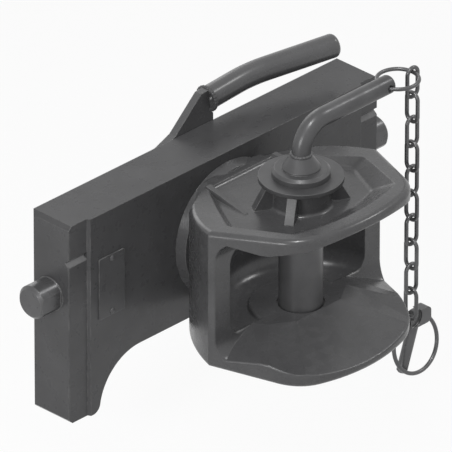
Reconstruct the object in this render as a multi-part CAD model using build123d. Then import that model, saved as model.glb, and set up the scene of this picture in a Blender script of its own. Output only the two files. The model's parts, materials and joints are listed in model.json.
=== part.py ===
"""Trailer hitch: a carrier plate that locks between two rails, and a turning jaw with a pin.

Millimetres. X runs along the carrier plate, -Y points forward out of the jaw's mouth, and +Z is up.
The origin is on the jaw's turning axis, in the plate's front face.
In the comments and helpers "forward" is the distance in front of that face, so y = -forward.
"""

import os
from math import cos, radians, sin, sqrt

from build123d import *

# Clearances
RUN_FIT = 0.08
BOLT_FIT = 0.05
FACE_GAP = 0.3
CUT_PAST = 20.0
NEAR = 0.05

# Carrier plate
PLATE_HALF = 155.5
PLATE_THICK = 39.7
PLATE_TOP = 59.6
PLATE_BOTTOM = -59.0
LEG_BOTTOM = -98.4
LEG_WIDTH = 27.7
ARCH_RADIUS = 40.4
LEG_CORNER = 7.0
END_CHAMFER = 3.0
STRIP_WIDTH = 18.1
STRIP_DEPTH = 2.4
STRIP_SLOPE = 1.15
NOTCH_BELOW_TOP = 29.6
NOTCH_HEIGHT = 6.3
NOTCH_DEPTH = 3.7

# Type plate, left blank
TYPE_PLATE_FROM_END = 39.6
TYPE_PLATE_WIDTH = 25.4
TYPE_PLATE_END_MARGIN = 3.05
TYPE_PLATE_THICK = 1.0
TYPE_PLATE_CORNER = 1.5
RIVET_SPACING = 42.6
RIVET_HEAD = 4.6
RIVET_HEAD_HEIGHT = 1.5
RIVET_SHANK = 2.4
RIVET_LENGTH = 7.0

# Locking bolts with their drive pins and springs
BOLT_RADIUS = 12.5
BOLT_GUIDE_RADIUS = 13.0
BOLT_SHOULDER_OUT = 0.3
BOLT_STICKS_OUT = 19.6
BOLT_LENGTH = 95.1
BOLT_CHAMFER = 2.1
BOLT_FLAT = 11.0
BOLT_TRAVEL = 20.0
BOLT_BEHIND_FRONT = 21.0
BORE_BOTTOM_X = 44.7
DRIVE_PIN_RADIUS = 5.0
DRIVE_PIN_FROM_INNER_END = 15.0
DRIVE_PIN_PAST_LEVER = 0.6
SPRING_WIRE_RADIUS = 1.25
SPRING_RADIUS = 9.0
SPRING_TURNS = 5

# Lever plate and its tube handle
LEVER_SWING = 35.0
LEVER_THICK = 6.0
LEVER_RIM = 11.5
LEVER_HUB_RADIUS = 42.0
LEVER_TIP = (15.2, 84.2)
LEVER_SHOULDER = (27.3, 65.0)
LEVER_FLARE = [(-10.7, 60.7), (-25.0, 55.0), (-56.0, 50.0)]
LEVER_FOOT = 20.0
TUBE_RADIUS = 8.8
TUBE_WALL = 2.3
TUBE_START = (23.6, 76.3)
TUBE_RISE = 4.0
TUBE_BEND = 16.0
TUBE_BEND_RADIUS = 100.0
TUBE_FIRST = 28.9
TUBE_LAST = 57.5
TUBE_END_ROUND = 4.0
CIRCLIP_DEPTH = 1.0
CIRCLIP_WIDTH = 1.5
CIRCLIP_RADIUS = 33.5
CIRCLIP_GAP = 14.0

# Turning shank, its bush and what holds it at the back
SHANK_RADIUS = 24.0
BUSH_WALL = 5.0
BUSH_BACK_Y = 48.2
THREAD_RADIUS = 18.0
THRUST_WASHER_RADIUS = 40.0
THRUST_WASHER_THICK = 3.5
DISC_SPRING_RADIUS = 34.0
DISC_SPRING_THICK = 2.2
DISC_SPRING_RISE = 1.4
NUT_ACROSS_FLATS = 55.0
NUT_HEIGHT = 12.0
NUT_CORNER_CHAMFER = 2.0
NUT_CROWN = 6.5
NUT_CROWN_RADIUS = 24.0
NUT_SLOT = 5.6
SPLIT_PIN_RADIUS = 2.4
SPLIT_PIN_EYE = 4.6
SPLIT_PIN_LEG = 8.0
SHANK_PAST_NUT = 2.5

# Jaw casting
FLANGE_RADIUS = 52.0
FLANGE_FRONT_RADIUS = 50.0
FLANGE_THICK = 8.5
REAR_CENTRE_FORWARD = 86.0
REAR_RADIUS = 88.0
REAR_FACE_FORWARD = 4.0
NECK_RADIUS = 56.0
NECK_SLOPE = 1.35
PIN_FORWARD = 72.6
CHEEK = (85.5, 65.3)
SHOULDER = (65.0, 112.4)
LIP_CORNER = (43.3, 132.5)
LIP_FORWARD = 139.3
CREST_AT_CHEEK = 54.0
CREST_SLOPE = 0.09
CREST_ROUND = 4.2
PAD_HEIGHT = 32.4
THROAT_HEIGHT = 36.5
THROAT_RADIUS = 70.0
THROAT_ROUND = 14.0
PAD_ROUND_RADIUS = 37.0
PAD_EDGE_ROUND = 2.0
MOUTH_FORWARD = 69.7
PAD_SIDE = 45.8
PAD_CORNER = (39.6, 78.9)
PAD_FRONT = (22.0, 90.2)
FLARE_HEIGHT = 56.0
FLARE_SIDE = 107.0
FLARE_CORNER = (98.0, 137.8)
FLARE_FRONT = (65.0, 144.0)
WINDOW_HEIGHT = 47.7
WINDOW_ROUND = 15.5
RIM_ROUND = 1.5
DISH_HEIGHT = 47.0
DISH_FLOOR = [(33.0, 16.0), (48.5, 43.7), (60.0, 65.0), (46.5, 96.0)]
DISH_FLOOR_FRONT = 105.5
DISH_RIM_HEIGHT = 61.0
DISH_RIM = [(43.0, 8.0), (61.0, 37.0), (78.0, 70.0), (51.5, 120.0)]
DISH_RIM_FRONT = 127.0
DISH_CORNER = 8.0
DISH_FOOT = 5.0
BOSS_RADIUS = 21.4
BOSS_TOP = 66.4
BOSS_ROUND = 3.0
BOSS_RIB_ANGLE = 30.0
BOSS_RIB_THICK = 7.0
BOSS_RIB_FOOT = 35.0
BOSS_RIB_TOP = 25.0
LOWER_BOSS_RADIUS = 22.0
LOWER_BOSS_BOTTOM = -58.0
RIDGE_BACK = (33.0, 14.0)
RIDGE_FRONT = (39.0, 57.0)
RIDGE_WIDTHS = (9.0, 5.0)
RIDGE_HEIGHTS = (4.5, 0.6)

# Coupling pin, its bushes, washer and handle
PIN_RADIUS = 15.75
PIN_BUSH_WALL = 2.77
PIN_BUSH_SHOULDER = 2.0
PIN_BUSH_LEDGE = 1.5
PIN_BOTTOM = -76.0
PIN_POINT = 3.0
WEAR_WASHER_RADIUS = 30.4
WEAR_WASHER_THICK = 3.1
COLLAR_RADIUS = 20.9
COLLAR_THICK = 6.0
COLLAR_CHAMFER = 2.0
CONE_RADIUS = 13.8
CONE_FOOT = 1.1
CONE_HEIGHT = 9.4
ROD_RADIUS = 6.9
ROD_BEND = 21.4
ROD_HEIGHT = 107.4
ROD_END_X = 89.8
ROD_END_ROUND = 3.0
RING_HOLE_FROM_END = 6.5
RING_HOLE_RADIUS = 2.6
RING_OFF_HOLE = 0.85
LINCH_HOLE_RADIUS = 4.5
LINCH_HOLE_ABOVE_END = 9.0

# Ring, chain and linchpin
RING_RADIUS = 15.0
RING_WIRE_RADIUS = 1.45
CHAIN_LINKS = 10
LINK_WIRE_RADIUS = 1.5
LINK_PITCH = 19.8
LINK_WIDTH = 13.4
LINK_GAP = 0.3
LINCH_SHANK_RADIUS = 4.0
LINCH_SHANK_FOOT = (5.0, 0.3)
LINCH_SHANK_TIP = (-9.5, -41.5)
LINCH_POINT = 1.5
LINCH_HEAD_LEFT = -1.9
LINCH_HEAD_RIGHT = 16.8
LINCH_HEAD_DEEP = 8.0
LINCH_HEAD_LOW = -8.3
LINCH_HEAD_HIGH = 4.4
LINCH_HEAD_ROUND = 4.0
LINCH_EYE_RADIUS = 2.6
LINCH_LUG_THICK = 4.4
LINCH_LUG_RADIUS = 7.5
SNAP_RING_RADIUS = 21.6
SNAP_RING_CENTRE = (1.3, -21.3)
SNAP_RING_WIRE_RADIUS = 1.5
SNAP_RING_HINGE = -5.6
SNAP_RING_TILT = 12.0
SNAP_RING_IN_HEAD = 3.4

# Worked-out places
TYPE_PLATE_X = TYPE_PLATE_FROM_END - PLATE_HALF
TYPE_PLATE_HEIGHT = RIVET_SPACING + 2 * TYPE_PLATE_END_MARGIN
BOLT_TIP_X = PLATE_HALF + BOLT_STICKS_OUT
BOLT_INNER_X = BOLT_TIP_X - BOLT_LENGTH
DRIVE_PIN_X = BOLT_INNER_X + DRIVE_PIN_FROM_INNER_END
LEVER_FRONT_Y = PLATE_THICK + FACE_GAP
LEVER_BACK_Y = LEVER_FRONT_Y + LEVER_THICK
CIRCLIP_Y = LEVER_BACK_Y + FACE_GAP
BUSH_OUTER = SHANK_RADIUS + BUSH_WALL
SHOULDER_Y = BUSH_BACK_Y + FACE_GAP
DISC_SPRING_Y = SHOULDER_Y + THRUST_WASHER_THICK
NUT_Y = DISC_SPRING_Y + DISC_SPRING_THICK + DISC_SPRING_RISE
CROWN_Y = NUT_Y + NUT_HEIGHT
NUT_BACK_Y = CROWN_Y + NUT_CROWN
SPLIT_PIN_Y = CROWN_Y + NUT_CROWN / 2
BUSH_BORE = PIN_RADIUS + PIN_BUSH_WALL + RUN_FIT
COLLAR_Z = BOSS_TOP + WEAR_WASHER_THICK
COLLAR_TOP = COLLAR_Z + COLLAR_THICK
ROD_START_Z = COLLAR_TOP + CONE_FOOT
RING_HOLE_X = ROD_END_X - RING_HOLE_FROM_END
RING_X = RING_HOLE_X - RING_OFF_HOLE + RING_RADIUS
CHAIN_X = RING_X + RING_RADIUS
LINK_CENTRES = LINK_PITCH + 2 * LINK_WIRE_RADIUS + LINK_GAP
LINK_TOP_Z = ROD_HEIGHT + RING_WIRE_RADIUS + LINK_WIRE_RADIUS + LINK_GAP
CHAIN_END_Z = LINK_TOP_Z - LINK_CENTRES - (CHAIN_LINKS - 1) * LINK_PITCH


def at(x, forward, z):
    """Point from its place along the plate, its distance in front of it and its height."""
    return Vector(x, -forward, z)


def cylinder(radius, start, end):
    """Round bar from one point to another."""
    axis = end - start
    return extrude(Plane(origin=start, z_dir=axis) * Circle(radius), axis.length)


def tube(outer, inner, start, end):
    return cylinder(outer, start, end) - cylinder(inner, start, end)


def turned(points, axis):
    """Solid of revolution from outline points, all on one side of the axis."""
    return revolve(Face(Wire.make_polygon(points, close=True)), axis)


def other_side(shape):
    return mirror(shape, about=Plane.YZ)


def both_sides(shape):
    return [shape, other_side(shape)]


def upside_down(shape):
    return mirror(shape, about=Plane.XY)


def crest_at(forward):
    return CREST_AT_CHEEK + CREST_SLOPE * (forward - CHEEK[1])


# Carrier plate


def end_notch():
    """V-shaped groove across the right end strip."""
    z = PLATE_TOP - NOTCH_BELOW_TOP
    inner = PLATE_HALF - STRIP_WIDTH
    profile = Wire.make_polygon([
        at(inner, -STRIP_DEPTH + 1, z + NOTCH_HEIGHT / 2), at(inner, -STRIP_DEPTH + 1, z - NOTCH_HEIGHT / 2),
        at(inner, -STRIP_DEPTH, z - NOTCH_HEIGHT / 2), at(inner, -STRIP_DEPTH - NOTCH_DEPTH, z),
        at(inner, -STRIP_DEPTH, z + NOTCH_HEIGHT / 2)], close=True)
    return extrude(Face(profile), STRIP_WIDTH * 1.1, dir=(1, 0, 0))


def end_strip():
    """What is milled off the front at the right end, with its sloped side."""
    inner = PLATE_HALF - STRIP_WIDTH
    low = LEG_BOTTOM - 1
    profile = Wire.make_polygon([
        at(inner - STRIP_SLOPE, 0, low), at(inner, -STRIP_DEPTH, low), at(PLATE_HALF + 1, -STRIP_DEPTH, low),
        at(PLATE_HALF + 1, 1, low), at(inner - STRIP_SLOPE, 1, low)], close=True)
    return extrude(Face(profile), PLATE_TOP - low + 1, dir=(0, 0, 1))


def bolt_bore():
    """Bore for the right bolt, with the slot for its drive pin through the plate's back."""
    y = BOLT_BEHIND_FRONT
    bore = cylinder(BOLT_GUIDE_RADIUS + BOLT_FIT, Vector(BORE_BOTTOM_X, y, 0), Vector(PLATE_HALF + 1, y, 0))
    slot = Pos(DRIVE_PIN_X - BOLT_TRAVEL / 2, 0) * SlotCenterToCenter(
        BOLT_TRAVEL, 2 * (DRIVE_PIN_RADIUS + FACE_GAP))
    return bore + extrude(Plane.XZ.offset(-y) * slot, -(PLATE_THICK - y + 1))


def rivet_places(y):
    return [Vector(TYPE_PLATE_X, y, side * RIVET_SPACING / 2) for side in (-1, 1)]


def carrier_plate():
    height = PLATE_TOP - LEG_BOTTOM
    outline = Pos(0, PLATE_TOP - height / 2) * Rectangle(2 * PLATE_HALF, height)
    arch_x = PLATE_HALF - LEG_WIDTH - ARCH_RADIUS
    arch_z = PLATE_BOTTOM - ARCH_RADIUS
    outline -= Pos(0, arch_z) * Rectangle(2 * arch_x, 2 * ARCH_RADIUS)
    outline -= [Pos(side * arch_x, arch_z) * Circle(ARCH_RADIUS) for side in (-1, 1)]
    plate = extrude(Plane.XZ * outline, -PLATE_THICK)
    corner_x = PLATE_HALF - LEG_WIDTH
    corners = [e for e in plate.edges().filter_by(Axis.Y)
               if abs(abs(e.center().X) - corner_x) < 1 and e.center().Z < LEG_BOTTOM + 2]
    plate = fillet(corners, LEG_CORNER)
    ends = [e for e in plate.edges() if abs(abs(e.center().X) - PLATE_HALF) < 0.01]
    plate = chamfer(ends, END_CHAMFER)
    plate -= both_sides(end_strip()) + both_sides(end_notch()) + both_sides(bolt_bore())
    plate -= cylinder(BUSH_OUTER, Vector(0, -1, 0), Vector(0, PLATE_THICK + 1, 0))
    for place in rivet_places(-1):
        plate -= cylinder(RIVET_SHANK / 2, place, place + Vector(0, 1 + RIVET_LENGTH, 0))
    return plate


def type_plate():
    """Blank plate riveted to the front face."""
    sheet = RectangleRounded(TYPE_PLATE_WIDTH, TYPE_PLATE_HEIGHT, TYPE_PLATE_CORNER)
    plate = extrude(Plane.XZ * Pos(TYPE_PLATE_X, 0) * sheet, TYPE_PLATE_THICK)
    for place in rivet_places(1):
        plate -= cylinder(RIVET_SHANK / 2, place, place - Vector(0, 2 + TYPE_PLATE_THICK, 0))
    return plate


def type_plate_rivets():
    """Two dome-headed rivets that hold the type plate."""
    sphere = (RIVET_HEAD ** 2 / 4 + RIVET_HEAD_HEIGHT ** 2) / (2 * RIVET_HEAD_HEIGHT)
    made = []
    for seat in rivet_places(-TYPE_PLATE_THICK):
        dome = Pos(seat + Vector(0, sphere - RIVET_HEAD_HEIGHT, 0)) * Sphere(sphere)
        dome &= cylinder(RIVET_HEAD, seat, seat - Vector(0, 2 * RIVET_HEAD_HEIGHT, 0))
        made.append(dome + cylinder(RIVET_SHANK / 2, seat, seat + Vector(0, RIVET_LENGTH, 0)))
    return Compound(children=made)


# Locking bolts, springs and lever


def drive_pin():
    """Cross pin pressed in the right bolt, that reaches back through the lever plate."""
    return cylinder(DRIVE_PIN_RADIUS, Vector(DRIVE_PIN_X, BOLT_BEHIND_FRONT - BOLT_RADIUS * 0.6, 0),
                    Vector(DRIVE_PIN_X, LEVER_BACK_Y + DRIVE_PIN_PAST_LEVER, 0))


def lock_bolt():
    """Right bolt: thicker guide in the plate, chamfered tip with a flat, cross hole for the drive pin."""
    y = BOLT_BEHIND_FRONT
    shoulder = Vector(PLATE_HALF + BOLT_SHOULDER_OUT, y, 0)
    bolt = cylinder(BOLT_RADIUS, shoulder, Vector(BOLT_TIP_X, y, 0))
    tip = bolt.edges().filter_by(GeomType.CIRCLE).sort_by(Axis.X)[-1]
    bolt = chamfer(tip, BOLT_CHAMFER)
    length = BOLT_STICKS_OUT - BOLT_SHOULDER_OUT
    flat = Box(length, BOLT_RADIUS, 2 * BOLT_RADIUS)
    bolt -= Pos(BOLT_TIP_X - length / 2, y - BOLT_FLAT - BOLT_RADIUS / 2, 0) * flat
    bolt += cylinder(BOLT_GUIDE_RADIUS, Vector(BOLT_INNER_X, y, 0), shoulder)
    return bolt - drive_pin()


def bolt_spring():
    """Coil spring between the bottom of the right bore and the bolt."""
    space = BOLT_INNER_X - BORE_BOTTOM_X
    length = space - 2 * SPRING_WIRE_RADIUS - 2 * FACE_GAP
    path = Helix(length / SPRING_TURNS, length, SPRING_RADIUS)
    coil = sweep(Plane(origin=path @ 0, z_dir=path % 0) * Circle(SPRING_WIRE_RADIUS), path=path)
    start = Vector(BORE_BOTTOM_X + SPRING_WIRE_RADIUS + FACE_GAP, BOLT_BEHIND_FRONT, 0)
    return Plane(origin=start, x_dir=(0, 0, 1), z_dir=(1, 0, 0)) * coil


def cam_point(turn):
    """Place of the right drive pin in the lever plate after the lever has turned by turn degrees."""
    radius = DRIVE_PIN_X - BOLT_TRAVEL * turn / LEVER_SWING
    return radius * cos(radians(turn)), -radius * sin(radians(turn))


def cam_slot():
    """Spiral slot that draws the right bolt in by the same distance for every degree."""
    overrun = 1.0
    turns = [-overrun, LEVER_SWING / 2, LEVER_SWING + overrun]
    path = ThreePointArc(*[cam_point(turn) for turn in turns])
    return SlotArc(path, 2 * (DRIVE_PIN_RADIUS + FACE_GAP))


def lever_plate():
    rise = radians(TUBE_RISE)
    top = (TUBE_START[0] - TUBE_RADIUS * sin(rise), TUBE_START[1] + TUBE_RADIUS * cos(rise))
    bottom = (TUBE_START[0] + TUBE_RADIUS * sin(rise), TUBE_START[1] - TUBE_RADIUS * cos(rise))
    horn = Polygon(LEVER_FLARE[::-1] + [LEVER_TIP, top, bottom, LEVER_SHOULDER,
                                        (LEVER_SHOULDER[0], LEVER_FOOT), (-LEVER_HUB_RADIUS, LEVER_FOOT)],
                   align=None)
    rims = [Pos(*cam_point(turn)) * Circle(LEVER_RIM) for turn in (0, LEVER_SWING / 2, LEVER_SWING)]
    arm = make_hull([e for rim in rims + [Circle(LEVER_HUB_RADIUS - 4)] for e in rim.edges()])
    other = Rot(0, 0, 180)

    def sheet(shape):
        return extrude(Plane.XZ.offset(-LEVER_FRONT_Y) * shape, LEVER_THICK, dir=(0, 1, 0))

    plate = sheet(Circle(LEVER_HUB_RADIUS)) + sheet(horn) + sheet(arm) + sheet(other * arm)
    for hole in (Circle(BUSH_OUTER + RUN_FIT), cam_slot(), other * cam_slot()):
        plate -= sheet(hole)
    return plate


def lever_tube():
    """Bent tube handle: straight, a gentle bend forward over the plate, straight, rounded end."""
    start = Vector(TUBE_START[0], LEVER_FRONT_Y + LEVER_THICK / 2, TUBE_START[1])
    along = Vector(cos(radians(TUBE_RISE)), 0, sin(radians(TUBE_RISE)))
    forward = Vector(0, -1, 0)
    bend_start = start + along * TUBE_FIRST

    def bend_point(angle):
        return (bend_start + along * (TUBE_BEND_RADIUS * sin(radians(angle)))
                + forward * (TUBE_BEND_RADIUS * (1 - cos(radians(angle)))))

    def rod(radius, last):
        path = Wire([Edge.make_line(start, bend_start),
                     Edge.make_three_point_arc(bend_start, bend_point(TUBE_BEND / 2), bend_end),
                     Edge.make_line(bend_end, bend_end + after * last)])
        return sweep(Plane(origin=start, z_dir=along) * Circle(radius), path=path)

    bend_end = bend_point(TUBE_BEND)
    after = along * cos(radians(TUBE_BEND)) + forward * sin(radians(TUBE_BEND))
    outside = rod(TUBE_RADIUS, TUBE_LAST)
    end = bend_end + after * TUBE_LAST
    tip = [e for e in outside.edges().filter_by(GeomType.CIRCLE) if (e.arc_center - end).length < 0.1]
    outside = fillet(tip, TUBE_END_ROUND)
    return outside - rod(TUBE_RADIUS - TUBE_WALL, TUBE_LAST - TUBE_END_ROUND)


def lever_circlip():
    """Open ring in the bush's groove, that keeps the lever plate on."""
    groove = BUSH_OUTER - CIRCLIP_DEPTH
    ring = tube(CIRCLIP_RADIUS, groove, Vector(0, CIRCLIP_Y, 0), Vector(0, CIRCLIP_Y + CIRCLIP_WIDTH, 0))
    return ring - Pos(0, CIRCLIP_Y, -CIRCLIP_RADIUS) * Box(CIRCLIP_GAP, 3 * CIRCLIP_WIDTH, CIRCLIP_RADIUS)


# Turning shank's bush and what holds it


def shank_bush():
    bush = tube(BUSH_OUTER, SHANK_RADIUS + RUN_FIT, Vector(0, 0, 0), Vector(0, BUSH_BACK_Y, 0))
    return bush - tube(BUSH_OUTER + 1, BUSH_OUTER - CIRCLIP_DEPTH,
                       Vector(0, CIRCLIP_Y, 0), Vector(0, CIRCLIP_Y + CIRCLIP_WIDTH, 0))


def thrust_washer():
    return tube(THRUST_WASHER_RADIUS, THREAD_RADIUS, Vector(0, SHOULDER_Y, 0), Vector(0, DISC_SPRING_Y, 0))


def disc_spring():
    """Coned disc spring between the washer and the nut, that brakes the jaw's turning."""
    return turned([Vector(DISC_SPRING_RADIUS, DISC_SPRING_Y, 0),
                   Vector(DISC_SPRING_RADIUS, DISC_SPRING_Y + DISC_SPRING_THICK, 0),
                   Vector(THREAD_RADIUS, NUT_Y, 0),
                   Vector(THREAD_RADIUS, NUT_Y - DISC_SPRING_THICK, 0)], Axis.Y)


def castle_nut():
    """Hexagon nut with a slotted crown for the split pin."""
    flat = NUT_ACROSS_FLATS / 2
    corner = flat / cos(radians(30))
    hexagon = Plane(origin=(0, NUT_Y, 0), z_dir=(0, 1, 0)) * RegularPolygon(flat, 6, major_radius=False)
    nut = extrude(hexagon, NUT_HEIGHT)
    nut &= turned([Vector(0, NUT_Y, 0), Vector(flat, NUT_Y, 0), Vector(corner, NUT_Y + NUT_CORNER_CHAMFER, 0),
                   Vector(corner, CROWN_Y - NUT_CORNER_CHAMFER, 0), Vector(flat, CROWN_Y, 0),
                   Vector(0, CROWN_Y, 0)], Axis.Y)
    nut += cylinder(NUT_CROWN_RADIUS, Vector(0, CROWN_Y, 0), Vector(0, NUT_BACK_Y, 0))
    nut -= cylinder(THREAD_RADIUS, Vector(0, NUT_Y - 1, 0), Vector(0, NUT_BACK_Y + 1, 0))
    slot = Pos(0, CROWN_Y + NUT_CROWN, 0) * Box(4 * NUT_CROWN_RADIUS, 2 * NUT_CROWN, NUT_SLOT)
    return nut - [Rot(0, angle, 0) * slot for angle in (0, 60, 120)]


def split_pin():
    """Split pin through the nut's slots and the shank, with an eye and two bent legs."""
    reach = NUT_CROWN_RADIUS + 2.5 * SPLIT_PIN_RADIUS
    pin = cylinder(SPLIT_PIN_RADIUS, Vector(-reach, SPLIT_PIN_Y, 0), Vector(reach, SPLIT_PIN_Y, 0))
    pin += Pos(-reach - SPLIT_PIN_EYE, SPLIT_PIN_Y, 0) * Rot(90, 0, 0) * Torus(
        SPLIT_PIN_EYE, SPLIT_PIN_RADIUS * 0.6)
    for side in (-1, 1):
        foot = Vector(reach - SPLIT_PIN_RADIUS, SPLIT_PIN_Y, side * SPLIT_PIN_RADIUS * 0.4)
        pin += cylinder(SPLIT_PIN_RADIUS * 0.6, foot, foot + Vector(SPLIT_PIN_LEG / 2, 0, side * SPLIT_PIN_LEG))
    return pin


# Jaw


def jaw_outline():
    """Plan of the jaw: round back, straight shoulders, rounded corners and the bowed front lip."""
    back_x = sqrt(REAR_RADIUS ** 2 - (REAR_CENTRE_FORWARD - REAR_FACE_FORWARD) ** 2)
    mid = (REAR_FACE_FORWARD + CHEEK[1]) / 2
    mid_x = sqrt(REAR_RADIUS ** 2 - (REAR_CENTRE_FORWARD - mid) ** 2)
    edges = [Edge.make_line(at(-back_x, REAR_FACE_FORWARD, 0), at(back_x, REAR_FACE_FORWARD, 0))]
    for side in (1, -1):
        cheek = at(side * CHEEK[0], CHEEK[1], 0)
        shoulder = at(side * SHOULDER[0], SHOULDER[1], 0)
        corner = at(side * LIP_CORNER[0], LIP_CORNER[1], 0)
        edges += [Edge.make_three_point_arc(at(side * back_x, REAR_FACE_FORWARD, 0),
                                            at(side * mid_x, mid, 0), cheek),
                  Edge.make_line(cheek, shoulder),
                  Edge.make_tangent_arc(shoulder, shoulder - cheek, corner)]
    edges.append(Edge.make_three_point_arc(at(LIP_CORNER[0], LIP_CORNER[1], 0), at(0, LIP_FORWARD, 0),
                                           at(-LIP_CORNER[0], LIP_CORNER[1], 0)))
    return Face(Wire.combine(edges)[0])


def crest_block():
    """Everything between the sloped top crest and its mirror image below."""
    back, front = -CUT_PAST, LIP_FORWARD + CUT_PAST
    profile = Wire.make_polygon([at(0, back, crest_at(back)), at(0, front, crest_at(front)),
                                 at(0, front, -crest_at(front)), at(0, back, -crest_at(back))], close=True)
    return extrude(Face(profile), 2 * CHEEK[0], dir=(1, 0, 0), both=True)


def neck_cone():
    """Round limit of the jaw's back, that widens away from the flange."""
    front = LIP_FORWARD + CUT_PAST
    wide = NECK_RADIUS + NECK_SLOPE * (front - FLANGE_THICK)
    return turned([Vector(0, 0, 0), Vector(NECK_RADIUS, 0, 0), Vector(NECK_RADIUS, -FLANGE_THICK, 0),
                   Vector(wide, -front, 0), Vector(0, -front, 0)], Axis.Y)


def ring_of(points, front, z):
    """Closed plan wire from right-hand points, with their mirror images and a bowed front."""
    left = [(-x, forward) for x, forward in points]
    edges = [Edge.make_line(at(*a, z), at(*b, z)) for a, b in zip(points, points[1:])]
    edges.append(Edge.make_three_point_arc(at(*points[-1], z), at(0, front, z), at(*left[-1], z)))
    edges += [Edge.make_line(at(*b, z), at(*a, z)) for a, b in zip(left, left[1:])][::-1]
    edges.append(Edge.make_line(at(*left[0], z), at(*points[0], z)))
    return Wire(edges)


def pad_outline():
    """Flat pad in front of the pin, right-hand half and its mirror image."""
    points = [(PAD_SIDE, MOUTH_FORWARD), PAD_CORNER, PAD_FRONT]
    return points + [(-x, forward) for x, forward in reversed(points)]


def lip():
    """Inside of the upper lip: a flat pad that slopes up and away to the sides and the front."""
    inner = pad_outline()
    points = [(FLARE_SIDE, MOUTH_FORWARD), FLARE_CORNER, FLARE_FRONT]
    outer = points + [(-x, forward) for x, forward in reversed(points)]
    low, high = PAD_HEIGHT, FLARE_HEIGHT
    faces = [Face(Wire.make_polygon([at(*p, low) for p in inner], close=True)),
             Face(Wire.make_polygon([at(*p, high) for p in reversed(outer)], close=True))]
    for a, b, c, d in zip(inner, inner[1:] + inner[:1], outer[1:] + outer[:1], outer):
        corners = [at(*a, low), at(*d, high), at(*c, high), at(*b, low)]
        if a[0] + b[0] < 0:
            corners = corners[1:] + corners[:1]
        faces.append(Face(Wire.make_polygon(corners[:3], close=True)))
        faces.append(Face(Wire.make_polygon([corners[0], corners[2], corners[3]], close=True)))
    return Solid(Shell(faces))


def window():
    """Side view of the mouth, with its round back corners, carried right across the jaw."""
    straight = WINDOW_HEIGHT - WINDOW_ROUND
    front = LIP_FORWARD + CUT_PAST
    bulge = WINDOW_ROUND * (1 - sqrt(0.5))
    middle = MOUTH_FORWARD + bulge
    top = FLARE_HEIGHT + 8
    edges = [Edge.make_line(at(0, MOUTH_FORWARD, -straight), at(0, MOUTH_FORWARD, straight)),
             Edge.make_three_point_arc(at(0, MOUTH_FORWARD, straight), at(0, middle, WINDOW_HEIGHT - bulge),
                                       at(0, MOUTH_FORWARD + WINDOW_ROUND, WINDOW_HEIGHT)),
             Edge.make_line(at(0, MOUTH_FORWARD + WINDOW_ROUND, WINDOW_HEIGHT), at(0, front, top)),
             Edge.make_line(at(0, front, top), at(0, front, -top)),
             Edge.make_line(at(0, front, -top), at(0, MOUTH_FORWARD + WINDOW_ROUND, -WINDOW_HEIGHT)),
             Edge.make_three_point_arc(at(0, MOUTH_FORWARD + WINDOW_ROUND, -WINDOW_HEIGHT),
                                       at(0, middle, bulge - WINDOW_HEIGHT), at(0, MOUTH_FORWARD, -straight))]
    return extrude(Face(Wire(edges)), 2 * CHEEK[0], dir=(1, 0, 0), both=True)


def mouth():
    """Front of the mouth: the gap between the upper and the lower lip, open at the sides too."""
    front = LIP_FORWARD + CUT_PAST
    slab = Box(4 * CHEEK[0], front - MOUTH_FORWARD, 2 * FLARE_HEIGHT)
    gap = Pos(at(0, (MOUTH_FORWARD + front) / 2, 0)) * slab & window()
    return gap - lip() - upside_down(lip())


def throat():
    """Round back of the mouth with its filleted floor and roof, less the raised pads."""
    round_part = cylinder(THROAT_RADIUS, at(0, REAR_CENTRE_FORWARD, -THROAT_HEIGHT),
                          at(0, REAR_CENTRE_FORWARD, THROAT_HEIGHT))
    round_part = fillet(round_part.edges().filter_by(GeomType.CIRCLE), THROAT_ROUND)
    deep = 2 * THROAT_RADIUS
    cavity = round_part & Pos(at(0, MOUTH_FORWARD - deep / 2, 0)) * Box(2 * deep, deep, deep)
    for side in (1, -1):
        cavity -= cylinder(PAD_ROUND_RADIUS, at(0, PIN_FORWARD, side * PAD_HEIGHT),
                           at(0, PIN_FORWARD, side * deep))
    steps = [e for e in cavity.edges().filter_by(GeomType.CIRCLE) if abs(e.radius - PAD_ROUND_RADIUS) < NEAR]
    return fillet(steps, PAD_EDGE_ROUND)


def dish():
    """Sunk top of the upper jaw, with ramps up to the crest; its mirror image is under the jaw."""
    sunk = Solid.make_loft([ring_of(DISH_FLOOR, DISH_FLOOR_FRONT, DISH_HEIGHT),
                            ring_of(DISH_RIM, DISH_RIM_FRONT, DISH_RIM_HEIGHT)], ruled=True)
    corners = [e for e in sunk.edges() if DISH_HEIGHT + NEAR < e.center().Z < DISH_RIM_HEIGHT - NEAR
               and -e.center().Y > DISH_FLOOR[1][1] - DISH_CORNER]
    sunk = fillet(corners, DISH_CORNER)
    return fillet([e for e in sunk.edges() if abs(e.center().Z - DISH_HEIGHT) < NEAR], DISH_FOOT)


def boss_rib(angle):
    """Web from the pin boss down to the dish, under the washer."""
    direction = Vector(cos(radians(angle)), sin(radians(angle)), 0)
    side = Plane(origin=at(0, PIN_FORWARD, 0), x_dir=direction, z_dir=Vector(direction.Y, -direction.X, 0))
    inside = BOSS_RADIUS - 2
    foot = DISH_HEIGHT - 1
    web = Polygon([(inside, foot), (BOSS_RIB_FOOT, foot), (BOSS_RIB_FOOT, DISH_HEIGHT + 0.5),
                   (BOSS_RIB_TOP, BOSS_TOP - 0.5), (inside, BOSS_TOP - 0.5)], align=None)
    return extrude(side * web, BOSS_RIB_THICK / 2, both=True)


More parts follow.
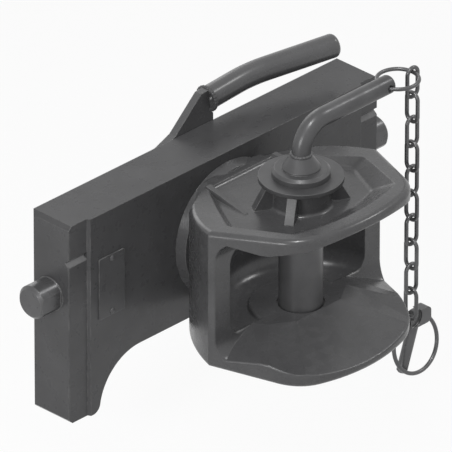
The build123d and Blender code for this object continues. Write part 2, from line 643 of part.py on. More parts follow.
def ridge():
    """Long tapered ridge that runs forward from the flange over the dish, right-hand one."""
    sections = []
    for (x, forward), width, height in zip((RIDGE_BACK, RIDGE_FRONT), RIDGE_WIDTHS, RIDGE_HEIGHTS):
        low, high = DISH_HEIGHT - 1, DISH_HEIGHT + height
        sections.append(Wire.make_polygon([
            at(x - width / 2, forward, low), at(x + width / 2, forward, low),
            at(x + width / 4, forward, high), at(x - width / 4, forward, high)], close=True))
    return Solid.make_loft(sections, ruled=True)


def shank():
    """Flange against the plate and the turning shank: bearing length, thread and split pin hole."""
    bar = turned([Vector(0, -FACE_GAP, 0), Vector(FLANGE_RADIUS, -FACE_GAP, 0),
                  Vector(FLANGE_FRONT_RADIUS, -FLANGE_THICK, 0), Vector(0, -FLANGE_THICK, 0)], Axis.Y)
    bar += cylinder(SHANK_RADIUS, Vector(0, -FLANGE_THICK, 0), Vector(0, SHOULDER_Y, 0))
    bar += cylinder(THREAD_RADIUS, Vector(0, SHOULDER_Y, 0), Vector(0, NUT_BACK_Y + SHANK_PAST_NUT, 0))
    bar = chamfer(bar.edges().filter_by(GeomType.CIRCLE).sort_by(Axis.Y)[-1], 1.5)
    return bar - cylinder(SPLIT_PIN_RADIUS, Vector(-SHANK_RADIUS, SPLIT_PIN_Y, 0),
                          Vector(SHANK_RADIUS, SPLIT_PIN_Y, 0))


def mouth_rim(body):
    """Edges where the mouth breaks through the jaw's outline, less the short upright ones."""
    outline = jaw_outline().outer_wire()
    rim = []
    for edge in body.edges():
        forward, height = -edge.center().Y, abs(edge.center().Z)
        spots = [Vector(p.X, p.Y, 0) for p in (edge @ 0, edge @ 0.5, edge @ 1)]
        upright = (spots[0] - spots[2]).length < NEAR
        if forward < MOUTH_FORWARD - NEAR or height > crest_at(forward) - CREST_ROUND - RIM_ROUND / 4:
            continue
        if max(outline.distance_to(p) for p in spots) < NEAR and (height < NEAR or not upright):
            rim.append(edge)
    return rim


def jaw():
    body = extrude(jaw_outline(), 2 * FLARE_HEIGHT, dir=(0, 0, 1), both=True) & crest_block()
    crests = [e for e in body.edges()
              if abs(abs(e.center().Z) - crest_at(-e.center().Y)) < 0.6 and -e.center().Y > REAR_FACE_FORWARD + 1]
    body = fillet(crests, CREST_ROUND) & neck_cone()
    body -= [dish(), upside_down(dish())]
    body += cylinder(BOSS_RADIUS, at(0, PIN_FORWARD, PAD_HEIGHT + 1), at(0, PIN_FORWARD, BOSS_TOP))
    foot = [e for e in body.edges().filter_by(GeomType.CIRCLE)
            if abs(e.radius - BOSS_RADIUS) < 0.01 and abs(e.center().Z - DISH_HEIGHT) < 0.01]
    body = fillet(foot, BOSS_ROUND)
    for angle in (BOSS_RIB_ANGLE, 180 - BOSS_RIB_ANGLE, 180 + BOSS_RIB_ANGLE, -BOSS_RIB_ANGLE):
        body += boss_rib(angle)
    body += cylinder(LOWER_BOSS_RADIUS, at(0, PIN_FORWARD, -PAD_HEIGHT - 1), at(0, PIN_FORWARD, LOWER_BOSS_BOTTOM))
    body += both_sides(ridge())
    body += shank()
    body -= throat()
    body -= mouth()
    body = fillet(mouth_rim(body), RIM_ROUND)
    ledge = PAD_HEIGHT + PIN_BUSH_SHOULDER
    body -= cylinder(BUSH_BORE - PIN_BUSH_LEDGE, at(0, PIN_FORWARD, -ledge), at(0, PIN_FORWARD, ledge))
    body -= cylinder(BUSH_BORE, at(0, PIN_FORWARD, ledge), at(0, PIN_FORWARD, 2 * BOSS_TOP))
    return body - cylinder(BUSH_BORE, at(0, PIN_FORWARD, 2 * PIN_BOTTOM), at(0, PIN_FORWARD, -ledge))


def pin_bush(near, far):
    """Bush pressed in the jaw, from its shoulder near the mouth to the outside."""
    return tube(BUSH_BORE, PIN_RADIUS + RUN_FIT, at(0, PIN_FORWARD, near), at(0, PIN_FORWARD, far))


def pin_bush_upper():
    return pin_bush(PAD_HEIGHT + PIN_BUSH_SHOULDER, BOSS_TOP)


def pin_bush_lower():
    return pin_bush(-PAD_HEIGHT - PIN_BUSH_SHOULDER, LOWER_BOSS_BOTTOM)


# Coupling pin and handle


def wear_washer():
    return tube(WEAR_WASHER_RADIUS, PIN_RADIUS + RUN_FIT, at(0, PIN_FORWARD, BOSS_TOP), at(0, PIN_FORWARD, COLLAR_Z))


def coupling_pin():
    """Pin with its collar and the low cone that the handle is welded in."""
    cone_top = COLLAR_TOP + CONE_FOOT + CONE_HEIGHT
    pin = turned([
        Vector(0, 0, PIN_BOTTOM), Vector(PIN_RADIUS - PIN_POINT, 0, PIN_BOTTOM),
        Vector(PIN_RADIUS, 0, PIN_BOTTOM + PIN_POINT), Vector(PIN_RADIUS, 0, COLLAR_Z),
        Vector(COLLAR_RADIUS, 0, COLLAR_Z), Vector(COLLAR_RADIUS, 0, COLLAR_TOP - COLLAR_CHAMFER),
        Vector(COLLAR_RADIUS - COLLAR_CHAMFER, 0, COLLAR_TOP), Vector(CONE_RADIUS, 0, COLLAR_TOP),
        Vector(CONE_RADIUS, 0, ROD_START_Z), Vector(ROD_RADIUS + 0.4, 0, cone_top), Vector(0, 0, cone_top)], Axis.Z)
    pin = Pos(at(0, PIN_FORWARD, 0)) * pin
    z = PIN_BOTTOM + LINCH_HOLE_ABOVE_END
    pin -= cylinder(LINCH_HOLE_RADIUS, at(0, PIN_FORWARD - 2 * PIN_RADIUS, z), at(0, PIN_FORWARD + 2 * PIN_RADIUS, z))
    return pin - cylinder(ROD_RADIUS, at(0, PIN_FORWARD, ROD_START_Z), at(0, PIN_FORWARD, ROD_HEIGHT))


def pin_handle():
    """Round rod bent at a right angle, with a cross hole for the ring near its rounded end."""
    foot = at(0, PIN_FORWARD, ROD_START_Z)
    bend_start = at(0, PIN_FORWARD, ROD_HEIGHT - ROD_BEND)
    corner = ROD_BEND * (1 - sqrt(0.5))
    bend_mid = at(corner, PIN_FORWARD, ROD_HEIGHT - corner)
    bend_end = at(ROD_BEND, PIN_FORWARD, ROD_HEIGHT)
    end = at(ROD_END_X, PIN_FORWARD, ROD_HEIGHT)
    path = Wire([Edge.make_line(foot, bend_start), Edge.make_three_point_arc(bend_start, bend_mid, bend_end),
                 Edge.make_line(bend_end, end)])
    rod = sweep(Plane(origin=foot, z_dir=(0, 0, 1)) * Circle(ROD_RADIUS), path=path)
    tip = [e for e in rod.edges().filter_by(GeomType.CIRCLE) if (e.arc_center - end).length < 0.1]
    rod = fillet(tip, ROD_END_ROUND)
    return rod - cylinder(RING_HOLE_RADIUS, at(RING_HOLE_X, PIN_FORWARD - 2 * ROD_RADIUS, ROD_HEIGHT),
                          at(RING_HOLE_X, PIN_FORWARD + 2 * ROD_RADIUS, ROD_HEIGHT))


# Ring, chain and linchpin


def handle_ring():
    return Pos(at(RING_X, PIN_FORWARD, ROD_HEIGHT)) * Torus(RING_RADIUS, RING_WIRE_RADIUS)


def chain_link(number):
    """One oblong link of round wire; odd links lie along the plate, even ones across it."""
    half = LINK_WIDTH / 2 - LINK_WIRE_RADIUS
    straight = LINK_CENTRES / 2 - half
    link = []
    for side in (1, -1):
        link.append(cylinder(LINK_WIRE_RADIUS, Vector(side * half, 0, -straight), Vector(side * half, 0, straight)))
        bend = revolve(Plane(origin=(side * half, 0, 0), z_dir=(0, 0, 1)) * Circle(LINK_WIRE_RADIUS),
                       Axis.Y, revolution_arc=-180)
        link.append(Pos(0, 0, side * straight) * bend)
    whole = link[0] + link[1:]
    centre_z = LINK_TOP_Z - LINK_CENTRES / 2 - (number - 1) * LINK_PITCH
    turn = 0 if number % 2 else 90
    return Pos(at(CHAIN_X, PIN_FORWARD, centre_z)) * Rot(0, 0, turn) * whole


def linch_point(x, z):
    """Point in the linchpin's plane, from the last link's end."""
    return at(CHAIN_X + x, PIN_FORWARD, CHAIN_END_Z + z)


def linch_pin():
    """Linchpin: head block with an eye for the chain, and the shank that leans out of it."""
    middle = (LINCH_HEAD_LEFT + LINCH_HEAD_RIGHT) / 2
    head = Pos(linch_point(middle, (LINCH_HEAD_LOW + LINCH_HEAD_HIGH) / 2)) * Box(
        LINCH_HEAD_RIGHT - LINCH_HEAD_LEFT, LINCH_HEAD_DEEP, LINCH_HEAD_HIGH - LINCH_HEAD_LOW)
    head = fillet(head.edges().filter_by(Axis.Y), LINCH_HEAD_ROUND)
    tip = linch_point(*LINCH_SHANK_TIP)
    bar = cylinder(LINCH_SHANK_RADIUS, linch_point(*LINCH_SHANK_FOOT), tip)
    bar = chamfer(bar.edges().filter_by(GeomType.CIRCLE).sort_by(Axis.Z)[0], LINCH_POINT)
    pin = head + bar
    eye = Vector(0, LINCH_HEAD_DEEP, 0)
    pin -= cylinder(LINCH_EYE_RADIUS, linch_point(0, 0) - eye, linch_point(0, 0) + eye)
    for side in (-1, 1):
        lug_face = linch_point(0, 0) + Vector(0, side * LINCH_LUG_THICK / 2, 0)
        pin -= cylinder(LINCH_LUG_RADIUS, lug_face, lug_face + side * eye)
    for x, inward in ((LINCH_HEAD_LEFT, 1), (LINCH_HEAD_RIGHT, -1)):
        pin -= cylinder(SNAP_RING_WIRE_RADIUS + RUN_FIT, linch_point(x - inward, SNAP_RING_HINGE),
                        linch_point(x + inward * SNAP_RING_IN_HEAD, SNAP_RING_HINGE))
    return pin


def linch_pin_ring():
    """Open wire ring hinged in the head's ends, that snaps over the shank's tip."""
    x, z = SNAP_RING_CENTRE
    left = x - sqrt(SNAP_RING_RADIUS ** 2 - (SNAP_RING_HINGE - z) ** 2)
    right = LINCH_HEAD_RIGHT + FACE_GAP + SNAP_RING_WIRE_RADIUS
    shoulder = z + sqrt(SNAP_RING_RADIUS ** 2 - (right - x) ** 2)
    corners = [linch_point(left, SNAP_RING_HINGE), linch_point(right, shoulder),
               linch_point(right, SNAP_RING_HINGE)]
    bow = Edge.make_three_point_arc(corners[0], linch_point(x, z - SNAP_RING_RADIUS), corners[1])
    ring = sweep(Plane(origin=corners[0], z_dir=bow % 0) * Circle(SNAP_RING_WIRE_RADIUS), path=bow)
    ring += cylinder(SNAP_RING_WIRE_RADIUS, corners[1], corners[2])
    for corner, x, inward in ((corners[0], LINCH_HEAD_LEFT, 1), (corners[2], LINCH_HEAD_RIGHT, -1)):
        ring += cylinder(SNAP_RING_WIRE_RADIUS, corner,
                         linch_point(x + inward * (SNAP_RING_IN_HEAD - FACE_GAP), SNAP_RING_HINGE))
    ring += [Pos(corner) * Sphere(SNAP_RING_WIRE_RADIUS) for corner in corners]
    return ring.rotate(Axis(linch_point(0, SNAP_RING_HINGE), (1, 0, 0)), -SNAP_RING_TILT)


PARTS = {
    "carrier_plate": carrier_plate(),
    "type_plate": type_plate(),
    "type_plate_rivets": type_plate_rivets(),
    "lock_bolt_right": lock_bolt(),
    "lock_bolt_left": other_side(lock_bolt()),
    "drive_pin_right": drive_pin(),
    "drive_pin_left": other_side(drive_pin()),
    "bolt_spring_right": bolt_spring(),
    "bolt_spring_left": other_side(bolt_spring()),
    "lever_plate": lever_plate(),
    "lever_tube": lever_tube(),
    "lever_circlip": lever_circlip(),
    "shank_bush": shank_bush(),
    "thrust_washer": thrust_washer(),
    "disc_spring": disc_spring(),
    "castle_nut": castle_nut(),
    "split_pin": split_pin(),
    "jaw": jaw(),
    "pin_bush_upper": pin_bush_upper(),
    "pin_bush_lower": pin_bush_lower(),
    "wear_washer": wear_washer(),
    "coupling_pin": coupling_pin(),
    "pin_handle": pin_handle(),
    "handle_ring": handle_ring(),
    "linch_pin": linch_pin(),
    "linch_pin_ring": linch_pin_ring(),
}
for number in range(1, CHAIN_LINKS + 1):
    PARTS[f"chain_link_{number:02d}"] = chain_link(number)

os.makedirs("parts", exist_ok=True)
for name, shape in PARTS.items():
    export_step(shape, f"parts/{name}.step")
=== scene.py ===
"""Looks of the trailer hitch: paint, dark steel and wire finishes, weld beads and the bolts' coils.

Everything is in metres, in the row frame: X along the carrier plate, -Y out of the jaw's mouth, +Z up.
"""

import json
import math

import bpy
import numpy as np
from mathutils import Matrix, Vector


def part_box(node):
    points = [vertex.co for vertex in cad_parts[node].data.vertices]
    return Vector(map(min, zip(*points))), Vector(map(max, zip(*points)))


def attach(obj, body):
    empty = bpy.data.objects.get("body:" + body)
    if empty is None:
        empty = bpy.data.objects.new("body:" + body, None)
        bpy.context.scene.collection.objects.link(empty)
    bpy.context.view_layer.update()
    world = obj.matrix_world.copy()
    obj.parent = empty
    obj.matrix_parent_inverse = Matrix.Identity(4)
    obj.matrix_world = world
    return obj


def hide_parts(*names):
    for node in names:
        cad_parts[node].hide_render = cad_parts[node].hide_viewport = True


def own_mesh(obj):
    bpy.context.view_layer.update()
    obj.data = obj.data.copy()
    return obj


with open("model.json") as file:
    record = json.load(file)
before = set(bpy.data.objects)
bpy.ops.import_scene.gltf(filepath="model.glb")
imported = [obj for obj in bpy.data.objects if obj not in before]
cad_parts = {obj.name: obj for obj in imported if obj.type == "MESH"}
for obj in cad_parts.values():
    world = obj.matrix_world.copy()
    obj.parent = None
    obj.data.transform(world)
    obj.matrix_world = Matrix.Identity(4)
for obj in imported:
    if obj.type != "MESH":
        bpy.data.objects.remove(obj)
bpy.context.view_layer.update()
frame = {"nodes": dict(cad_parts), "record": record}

MM = 0.001

# Sizes of the finishes' patterns, and the shares of noise between which they run
SHADE_PATCH_MM = 30
ROUGH_PATCH_MM = 8
WEAR_AND_HIGHLIGHT_PATCH_MM = 12
NOISE_LOW, NOISE_HIGH = 0.30, 0.70
WEAR_AND_HIGHLIGHT_LOW, WEAR_AND_HIGHLIGHT_HIGH = 0.42, 0.62
# Cosine between a face and its broken edge, where the lighter edge (partly rubbed paint, partly painted highlight)
# starts and where it is full
EDGE_START, EDGE_FULL = 0.995, 0.90
BEVEL_SAMPLES = 6
# A band texture of scale 1 repeats every 0.314 m.
BAND_PERIOD = 0.314


def linear(hex_colour):
    """Linear colour with alpha from an sRGB hex value such as #4d4d4d."""
    parts = [int(hex_colour[i:i + 2], 16) / 255 for i in (1, 3, 5)]
    return [p / 12.92 if p <= 0.04045 else ((p + 0.055) / 1.055) ** 2.4 for p in parts] + [1.0]


def add(tree, kind, settings=None, inputs=None, links=None):
    """One node in the tree: settings on the node, inputs by name or number, links from other nodes' outputs."""
    node = tree.nodes.new(kind)
    for key, value in (settings or {}).items():
        setattr(node, key, value)
    for key, value in (inputs or {}).items():
        node.inputs[key].default_value = value
    for key, output in (links or {}).items():
        tree.links.new(output, node.inputs[key])
    return node


def finish_of(name, base, dark, light, metallic, roughness, spread, grain_mm, grain_depth_mm,
              marks=None, marks_mm=1.0, marks_depth_mm=0.0, gloss=0.5, edge_mm=0.8, wear_and_highlight_colour="#8d8d8c", wear_and_highlight=0.5):
    """A solid finish on Object coordinates.

    Colour runs from dark through base to light over soft patches 30 mm across, roughness by spread over
    patches 8 mm across. The surface has grain of grain_mm across and grain_depth_mm deep. Where marks names an
    axis, fine ridges marks_mm apart run round it or across it, as a cutting tool leaves them. Edges are
    broken over edge_mm, and in patches 12 mm across their colour goes towards a light grey: partly rubbed paint,
    partly a painted highlight along the edges.
    """
    material = bpy.data.materials.new(name)
    material.use_nodes = True
    tree = material.node_tree
    tree.nodes.clear()
    place = add(tree, "ShaderNodeTexCoord").outputs["Object"]
    patches = add(tree, "ShaderNodeTexNoise",
                  inputs={"Scale": 1 / (SHADE_PATCH_MM * MM), "Detail": 4.0, "Roughness": 0.6},
                  links={"Vector": place})
    ramp = add(tree, "ShaderNodeValToRGB", links={"Fac": patches.outputs["Fac"]})
    stops = ramp.color_ramp.elements
    stops[0].position, stops[0].color = NOISE_LOW, linear(dark)
    stops[1].position, stops[1].color = NOISE_HIGH, linear(light)
    stops.new(0.5).color = linear(base)
    rubbed = add(tree, "ShaderNodeTexNoise", inputs={"Scale": 1 / (ROUGH_PATCH_MM * MM), "Detail": 3.0},
                 links={"Vector": place})
    rough = add(tree, "ShaderNodeMapRange",
                inputs={"From Min": NOISE_LOW, "From Max": NOISE_HIGH,
                        "To Min": roughness - spread, "To Max": roughness + spread},
                links={"Value": rubbed.outputs["Fac"]})
    grain = add(tree, "ShaderNodeTexNoise", inputs={"Scale": 1 / (grain_mm * MM), "Detail": 2.0},
                links={"Vector": place})
    face = add(tree, "ShaderNodeNewGeometry")
    broken = add(tree, "ShaderNodeBevel", {"samples": BEVEL_SAMPLES}, {"Radius": edge_mm * MM})
    flat = add(tree, "ShaderNodeVectorMath", {"operation": "DOT_PRODUCT"},
               links={0: broken.outputs["Normal"], 1: face.outputs["Normal"]})
    # Broken edges lightened in patches towards a light grey: partly rubbed paint, partly a painted edge highlight.
    edge = add(tree, "ShaderNodeMapRange",
               inputs={"From Min": EDGE_START, "From Max": EDGE_FULL, "To Min": 0.0, "To Max": wear_and_highlight},
               links={"Value": flat.outputs["Value"]})
    wear_and_highlight_patches = add(tree, "ShaderNodeTexNoise",
               inputs={"Scale": 1 / (WEAR_AND_HIGHLIGHT_PATCH_MM * MM), "Detail": 5.0, "Roughness": 0.7},
               links={"Vector": place})
    where = add(tree, "ShaderNodeMapRange", inputs={"From Min": WEAR_AND_HIGHLIGHT_LOW, "From Max": WEAR_AND_HIGHLIGHT_HIGH},
                links={"Value": wear_and_highlight_patches.outputs["Fac"]})
    wear_and_highlight_edge = add(tree, "ShaderNodeMath", {"operation": "MULTIPLY", "use_clamp": True},
                      links={0: edge.outputs["Result"], 1: where.outputs["Result"]})
    # The Mix node's sockets 6 and 7 are its two colours, and its output 2 is the mixed colour.
    colour = add(tree, "ShaderNodeMix", {"data_type": "RGBA"}, {7: linear(wear_and_highlight_colour)},
                 {0: wear_and_highlight_edge.outputs["Value"], 6: ramp.outputs["Color"]})
    bump = add(tree, "ShaderNodeBump", inputs={"Strength": 1.0, "Distance": grain_depth_mm * MM},
               links={"Height": grain.outputs["Fac"], "Normal": broken.outputs["Normal"]})
    if marks:
        wave = add(tree, "ShaderNodeTexWave",
                   {"wave_type": "BANDS", "bands_direction": marks, "wave_profile": "SIN"},
                   {"Scale": BAND_PERIOD / (marks_mm * MM), "Distortion": 1.2, "Detail": 1.0, "Detail Scale": 2.0},
                   {"Vector": place})
        bump = add(tree, "ShaderNodeBump", inputs={"Strength": 1.0, "Distance": marks_depth_mm * MM},
                   links={"Height": wave.outputs["Fac"], "Normal": bump.outputs["Normal"]})
    shader = add(tree, "ShaderNodeBsdfPrincipled",
                 inputs={"Metallic": metallic, "Specular IOR Level": gloss},
                 links={"Base Color": colour.outputs[2], "Roughness": rough.outputs["Result"],
                        "Normal": bump.outputs["Normal"]})
    add(tree, "ShaderNodeOutputMaterial", links={"Surface": shader.outputs["BSDF"]})
    return material


# Satin enamel on a milled steel plate: dark grey, faint roller texture, soft highlights.
PLATE_ENAMEL = finish_of("satin_enamel_on_steel_plate", "#474748", "#434344", "#4b4b4c", 0.0, 0.30, 0.05,
                         1.6, 0.006, gloss=0.25)
# The same enamel over sand-cast iron: the sand's grain shows through as a fine roughness.
CAST_ENAMEL = finish_of("satin_enamel_on_cast_iron", "#484849", "#434344", "#4d4d4e", 0.0, 0.27, 0.05,
                        1.2, 0.022, gloss=0.40)
# Enamel over bent tube and cut plate: smoother, a little glossier.
LEVER_ENAMEL = finish_of("satin_enamel_on_tube", "#4b4b4c", "#474748", "#4f4f50", 0.0, 0.26, 0.04,
                         2.5, 0.010, gloss=0.60)
# Stamped tag painted over with the plate, so it only shows by its edge.
TAG_ENAMEL = finish_of("painted_over_tag", "#4a4a4b", "#464647", "#4e4e4f", 0.0, 0.30, 0.04,
                       0.8, 0.006, gloss=0.25)
# Turned bolt ends, blackened: tool ridges a third of a millimetre apart, drawn at 0.7 mm to show.
BOLT_STEEL = finish_of("blackened_turned_steel", "#515152", "#4b4b4c", "#585859", 0.30, 0.30, 0.06,
                       1.0, 0.004, marks="X", marks_mm=0.7, marks_depth_mm=0.010)
# Turned and hardened coupling pin: ridges a fifth of a millimetre apart, drawn at 0.8 mm to show.
PIN_STEEL = finish_of("hardened_turned_pin_steel", "#4f4f50", "#49494a", "#565657", 0.20, 0.36, 0.05,
                      1.0, 0.004, marks="Z", marks_mm=0.8, marks_depth_mm=0.005, gloss=0.35)
# Phosphated nut and washers: dull, fine crystal grain, drawn at 0.5 mm to show.
NUT_STEEL = finish_of("phosphated_steel", "#4c4c4d", "#464647", "#535354", 0.30, 0.40, 0.06, 0.5, 0.010)
# Ground bushes, a shade lighter: grinding lines drawn at 0.6 mm to show.
BUSH_STEEL = finish_of("ground_bush_steel", "#6c6c6d", "#646465", "#747475", 0.7, 0.30, 0.05,
                       0.8, 0.003, marks="Z", marks_mm=0.6, marks_depth_mm=0.004)
# Oiled spring steel, nearly black and smooth.
SPRING_STEEL = finish_of("oiled_spring_steel", "#4c4c4e", "#454547", "#535355", 0.6, 0.34, 0.05, 0.8, 0.004)
# Drawn wire for chain, rings and linchpin: dark sheen; lengthways die lines are too fine to show.
WIRE_STEEL = finish_of("drawn_dark_wire", "#5a5a5b", "#525253", "#626263", 0.50, 0.32, 0.06, 0.7, 0.006)
# Weld metal under the same enamel: coarser grain and a duller shine.
WELD_ENAMEL = finish_of("enamel_on_weld", "#4a4a4b", "#434344", "#515152", 0.0, 0.32, 0.05,
                        0.9, 0.020, gloss=0.25)

FINISHES = {
    "plate_paint": PLATE_ENAMEL,
    "casting_paint": CAST_ENAMEL,
    "lever_paint": LEVER_ENAMEL,
    "tag_metal": TAG_ENAMEL,
    "bolt_steel": BOLT_STEEL,
    "spring_steel": SPRING_STEEL,
    "bush_steel": BUSH_STEEL,
    "nut_steel": NUT_STEEL,
    "pin_steel": PIN_STEEL,
    "wire_steel": WIRE_STEEL,
}
node_slots = {part["node"]: part["material_slot"] for part in frame["record"]["subparts"]}
for node, shown in frame["nodes"].items():
    shown.data.materials.clear()
    shown.data.materials.append(FINISHES[node_slots[node]])


# Camera at the drawing's angle. The drawing has no perspective, so the lens is very long.
AZIMUTH = math.radians(-45.7)
ELEVATION = math.radians(29.3)
MM_PER_PIXEL = 0.7043
FRAME_PIXELS = 452
ORIGIN_PIXEL = (226.8, 225.8)
DISTANCE = 11.0
SENSOR_MM = 36.0
BACK = Vector((math.sin(AZIMUTH) * math.cos(ELEVATION), -math.cos(AZIMUTH) * math.cos(ELEVATION),
               math.sin(ELEVATION)))
RIGHT = Vector((math.cos(AZIMUTH), math.sin(AZIMUTH), 0))
UP = BACK.cross(RIGHT)
across, down = (FRAME_PIXELS / 2 - pixel for pixel in ORIGIN_PIXEL)
aim = (RIGHT * across - UP * down) * MM_PER_PIXEL * MM
camera_data = bpy.data.cameras.new("camera")
camera_data.sensor_width = SENSOR_MM
camera_data.lens = SENSOR_MM * DISTANCE / (FRAME_PIXELS * MM_PER_PIXEL * MM)
camera_data.clip_start = 1.0
camera_data.clip_end = 60.0
camera = bpy.data.objects.new("camera", camera_data)
bpy.context.scene.collection.objects.link(camera)
turn = Matrix((RIGHT, UP, BACK)).transposed().to_4x4()
turn.translation = aim + BACK * DISTANCE
camera.matrix_world = turn
bpy.context.scene.camera = camera


# Plain pale floor and soft light.
FLOOR_Z = -0.150
FLOOR_HALF = 6
FLOOR_WHITE = 0.85
FILL = 0.25
WHITE = linear("#ffffff")


def seen_directly(tree):
    """Output that is 1 for camera, glossy and transmission rays and 0 for the others."""
    rays = add(tree, "ShaderNodeLightPath")
    seen = add(tree, "ShaderNodeMath", {"operation": "MAXIMUM"},
               links={0: rays.outputs["Is Camera Ray"], 1: rays.outputs["Is Glossy Ray"]})
    seen = add(tree, "ShaderNodeMath", {"operation": "MAXIMUM"},
               links={0: seen.outputs["Value"], 1: rays.outputs["Is Transmission Ray"]})
    return seen.outputs["Value"]


floor_mesh = bpy.data.meshes.new("studio_floor")
floor_mesh.from_pydata([(x * FLOOR_HALF, y * FLOOR_HALF, FLOOR_Z) for x, y in ((-1, -1), (1, -1), (1, 1), (-1, 1))],
                       [], [(0, 1, 2, 3)])
floor = bpy.data.objects.new("studio_floor", floor_mesh)
bpy.context.scene.collection.objects.link(floor)
paper = bpy.data.materials.new("white_paper")
paper.use_nodes = True
tree = paper.node_tree
tree.nodes.clear()
share = add(tree, "ShaderNodeMath", {"operation": "MULTIPLY"}, {1: FLOOR_WHITE}, {0: seen_directly(tree)})
matt = add(tree, "ShaderNodeBsdfDiffuse", inputs={"Color": linear("#f6f6f6")})
glow = add(tree, "ShaderNodeEmission", inputs={"Color": WHITE, "Strength": 1.0})
mixed = add(tree, "ShaderNodeMixShader", links={0: share.outputs["Value"], 1: matt.outputs[0], 2: glow.outputs[0]})
add(tree, "ShaderNodeOutputMaterial", links={"Surface": mixed.outputs[0]})
floor_mesh.materials.append(paper)

world = bpy.data.worlds.new("studio")
bpy.context.scene.world = world
world.use_nodes = True
tree = world.node_tree
tree.nodes.clear()
fill = add(tree, "ShaderNodeBackground", inputs={"Color": WHITE, "Strength": FILL})
white = add(tree, "ShaderNodeBackground", inputs={"Color": WHITE, "Strength": 1.0})
mixed = add(tree, "ShaderNodeMixShader", links={0: seen_directly(tree), 1: fill.outputs[0], 2: white.outputs[0]})
add(tree, "ShaderNodeOutputWorld", links={"Surface": mixed.outputs[0]})


def softbox(name, place, size, power, shadow=True):
    """A square area lamp at place, facing the origin, with its side in metres and its power in watts."""
    lamp = bpy.data.lights.new(name, "AREA")
    lamp.shape = "SQUARE"
    lamp.size = size
    lamp.energy = power
    lamp.use_shadow = shadow
    body = bpy.data.objects.new(name, lamp)
    body.matrix_world = Matrix.Translation(place) @ Vector(place).to_track_quat("Z", "Y").to_matrix().to_4x4()
    bpy.context.scene.collection.objects.link(body)


# The drawing is lit from above without shadows, so most of the light from above casts none.
# The small lamps give the sharp highlights on tube, crest and throat.
softbox("above", (-0.60, -0.55, 2.0), 0.18, 21.0, shadow=False)
softbox("right_high", (1.37, -0.66, 1.59), 0.20, 7.5, shadow=False)
softbox("above_soft", (-0.9, -0.6, 2.0), 1.4, 3.0)
softbox("side_left", (-2.1, -0.45, 0.7), 0.6, 17.5)
# A weak lamp behind, so that the back of the plate is seen too.
softbox("behind", (0.9, 2.2, 1.0), 1.2, 9.0)


def smooth_piece(name, points, faces, finish, body):
    """A smooth-shaded piece from an array of points and a list of faces, riding on body."""
    mesh = bpy.data.meshes.new(name)
    mesh.from_pydata(points.reshape(-1, 3).tolist(), [], faces)
    mesh.polygons.foreach_set("use_smooth", np.ones(len(faces), bool))
    mesh.materials.append(finish)
    piece = bpy.data.objects.new(name, mesh)
    bpy.context.scene.collection.objects.link(piece)
    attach(piece, body)
    return piece


BEAD_STEPS = 12
BEAD_SIDES = 14
BEAD_LOW, BEAD_SWELL = 0.9, 0.2


def weld_bead(name, body, finish, centre, axis, ring_mm, bead_mm, ripples):
    """Closed weld bead round a bar.

    Point (u, v) = centre + (ring + bead * cos v) * outward(u) + bead * sin v * axis. The bead's radius swells and
    narrows by a tenth as |sin(ripples * u / 2)|, which is one scallop for each drop of weld metal.
    """
    steps = BEAD_STEPS * ripples
    u, v = np.meshgrid(np.arange(steps) * 2 * np.pi / steps, np.arange(BEAD_SIDES) * 2 * np.pi / BEAD_SIDES,
                       indexing="ij")
    n = np.array(axis) / np.linalg.norm(axis)
    a = np.cross(n, (0.0, 1.0, 0.0))
    a /= np.linalg.norm(a)
    b = np.cross(n, a)
    bead = bead_mm * MM * (BEAD_LOW + BEAD_SWELL * np.abs(np.sin(ripples * u / 2)))
    outward = np.cos(u)[..., None] * a + np.sin(u)[..., None] * b
    points = np.array(centre) * MM + (ring_mm * MM + bead * np.cos(v))[..., None] * outward
    points = points + (bead * np.sin(v))[..., None] * n
    at = np.arange(steps * BEAD_SIDES).reshape(steps, BEAD_SIDES)
    right, up = np.roll(at, -1, 0), np.roll(at, -1, 1)
    quads = np.stack([at, right, np.roll(right, -1, 1), up], -1).reshape(-1, 4)
    smooth_piece(name, points, quads.tolist(), finish, body)


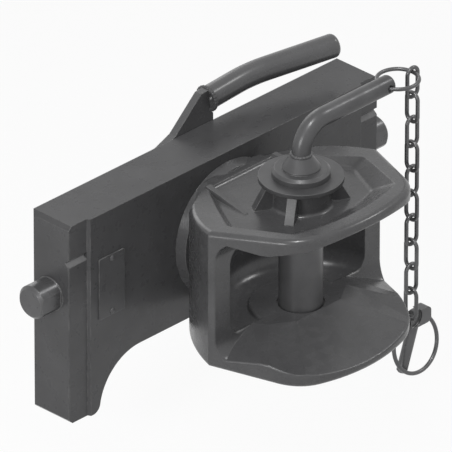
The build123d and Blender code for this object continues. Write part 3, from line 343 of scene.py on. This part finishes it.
weld_bead("lever_tube_weld", "lever", WELD_ENAMEL, (24.2, 43.0, 76.34), (0.9976, 0.0, 0.0698),
          8.6, 1.5, 26)
weld_bead("pin_handle_weld", "pin", PIN_STEEL, (0.0, -72.6, 86.0), (0.0, 0.0, 1.0), 6.8, 1.3, 20)

COIL_WIRE_MM = 1.25
COIL_RING_MM = 9.0
COIL_TURNS = 5
COIL_STEPS = 48
COIL_SIDES = 12


def bolt_coil(name, node):
    """Coil spring in a bolt's bore, at one length with evenly spaced turns.

    Point (u, v) = middle line at turn angle u + wire * (cos v * away from the spring's axis + sin v * across the
    wire). The middle line runs along X through the node's box while it goes round COIL_TURNS times. Both ends
    are closed with a flat face.
    """
    low, high = (np.array(corner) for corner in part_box(node))
    middle, wire, ring = (low + high) / 2, COIL_WIRE_MM * MM, COIL_RING_MM * MM
    full = high[0] - low[0]
    length = full - 2 * wire
    whole_angle = 2 * np.pi * COIL_TURNS
    steps = COIL_STEPS * COIL_TURNS
    u = np.linspace(0, whole_angle, steps)[:, None]
    v = np.arange(COIL_SIDES) * 2 * np.pi / COIL_SIDES
    away = np.stack([np.zeros_like(u), np.cos(u), np.sin(u)], -1)
    run = np.stack([np.full_like(u, length / whole_angle), -ring * np.sin(u), ring * np.cos(u)], -1)
    run /= np.linalg.norm(run, axis=-1, keepdims=True)
    line = middle + ring * away
    line[..., 0] = low[0] + wire + length * u / whole_angle
    points = line + wire * (np.cos(v)[:, None] * away + np.sin(v)[:, None] * np.cross(run, away))
    at = np.arange(steps * COIL_SIDES).reshape(steps, COIL_SIDES)
    beside = np.roll(at, -1, 1)
    quads = np.stack([at[:-1], beside[:-1], beside[1:], at[1:]], -1).reshape(-1, 4).tolist()
    coil = smooth_piece(name, points, quads + [at[0][::-1].tolist(), at[-1].tolist()], SPRING_STEEL,
                        "carrier")
    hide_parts(node)
    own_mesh(coil)


bolt_coil("right_bolt_coil", "bolt_spring_right")
bolt_coil("left_bolt_coil", "bolt_spring_left")

bpy.context.scene.view_settings.view_transform = "Standard"
